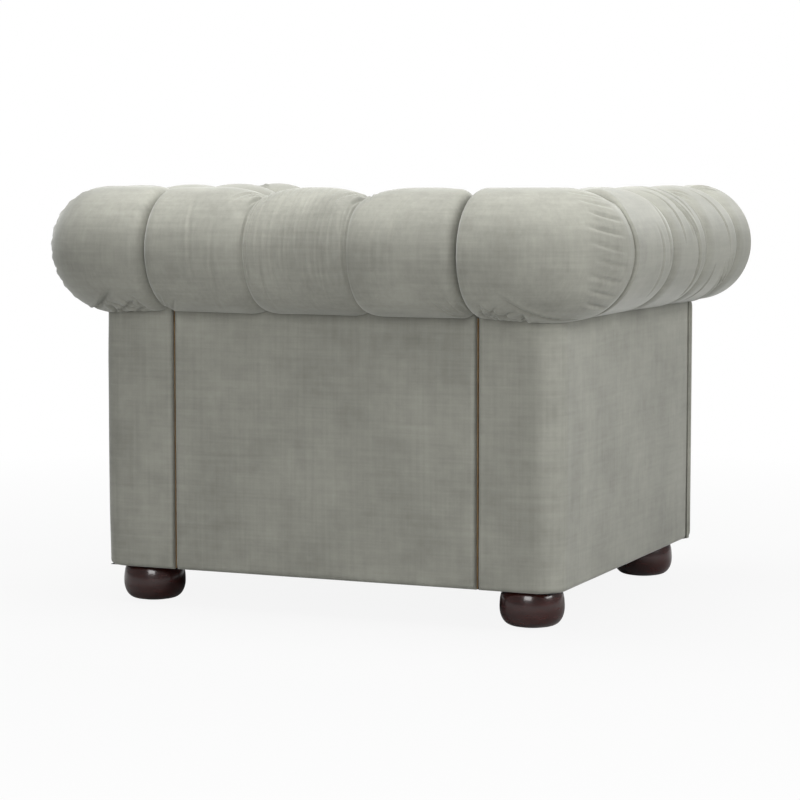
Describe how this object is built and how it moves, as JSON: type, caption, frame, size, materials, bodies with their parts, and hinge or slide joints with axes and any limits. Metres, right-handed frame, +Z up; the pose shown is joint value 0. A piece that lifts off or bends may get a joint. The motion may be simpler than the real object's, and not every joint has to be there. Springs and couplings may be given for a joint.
{
  "type": "tufted rolled-arm armchair",
  "caption": "Low armchair with rolled, button-tufted arms and back at one height, a loose crowned seat cushion, upholstered outer panels and turned bun feet.",
  "frame": {"origin": "on the floor under the middle of the chair's overall box", "axes": "+X to the sitter's left, +Y to the back, +Z up"},
  "size_m": [1.09, 0.889, 0.737],
  "materials": {
    "velvet": "soft short-pile velvet",
    "platform_cloth": "plain woven cloth over foam",
    "dust_cloth": "black non-woven cloth",
    "webbing": "woven jute webbing",
    "dark_wood": "turned, stained dark red-brown and lacquered",
    "hardwood": "sawn and planed, unfinished",
    "plywood": "cut board, unfinished",
    "nylon": "moulded",
    "steel": "zinc plated"
  },
  "bodies": {
    "chair_frame": {"left_arm_cover": "velvet", "right_arm_cover": "velvet", "left_arm_outer_panel": "velvet", "right_arm_outer_panel": "velvet", "left_arm_facing": "velvet", "right_arm_facing": "velvet", "left_arm_front_board": "plywood", "right_arm_front_board": "plywood", "left_arm_bottom_rail": "hardwood", "right_arm_bottom_rail": "hardwood", "left_arm_top_rail": "hardwood", "right_arm_top_rail": "hardwood", "left_arm_posts": "hardwood", "right_arm_posts": "hardwood", "left_arm_corner_post": "hardwood", "right_arm_corner_post": "hardwood", "left_arm_rear_board": "plywood", "right_arm_rear_board": "plywood", "left_arm_tack_rails": "hardwood", "right_arm_tack_rails": "hardwood", "left_arm_lining": "plywood", "right_arm_lining": "plywood", "left_arm_roll_core": "hardwood", "right_arm_roll_core": "hardwood", "left_arm_buttons": "velvet", "right_arm_buttons": "velvet", "left_arm_rosette": "velvet", "right_arm_rosette": "velvet", "left_seat_side_rail": "hardwood", "right_seat_side_rail": "hardwood", "back_cover": "velvet", "back_outer_panel": "velvet", "back_side_frames": "hardwood", "back_bottom_rail": "hardwood", "back_top_rail": "hardwood", "back_tack_rail": "hardwood", "back_stud": "hardwood", "back_lining": "plywood", "back_roll_core": "hardwood", "back_buttons": "velvet", "seat_front_rail": "hardwood", "seat_rear_rail": "hardwood", "seat_corner_braces": "hardwood", "webbing_front_to_back": "webbing", "webbing_side_to_side": "webbing", "seat_deck": "platform_cloth", "front_apron": "velvet", "dust_cover": "dust_cloth", "foot_blocks": "hardwood", "bun_feet": "dark_wood", "foot_glides": "nylon", "foot_bolts": "steel", "foot_tee_nuts": "steel", "joining_bolts": "steel"},
    "seat_cushion_body": {"seat_cushion": "velvet"}
  },
  "joints": [
    {"name": "seat_cushion_lift", "type": "slide", "parent": "chair_frame", "child": "seat_cushion_body", "axis": [0, 0, 1], "range_m": [0, 0.5]}
  ]
}
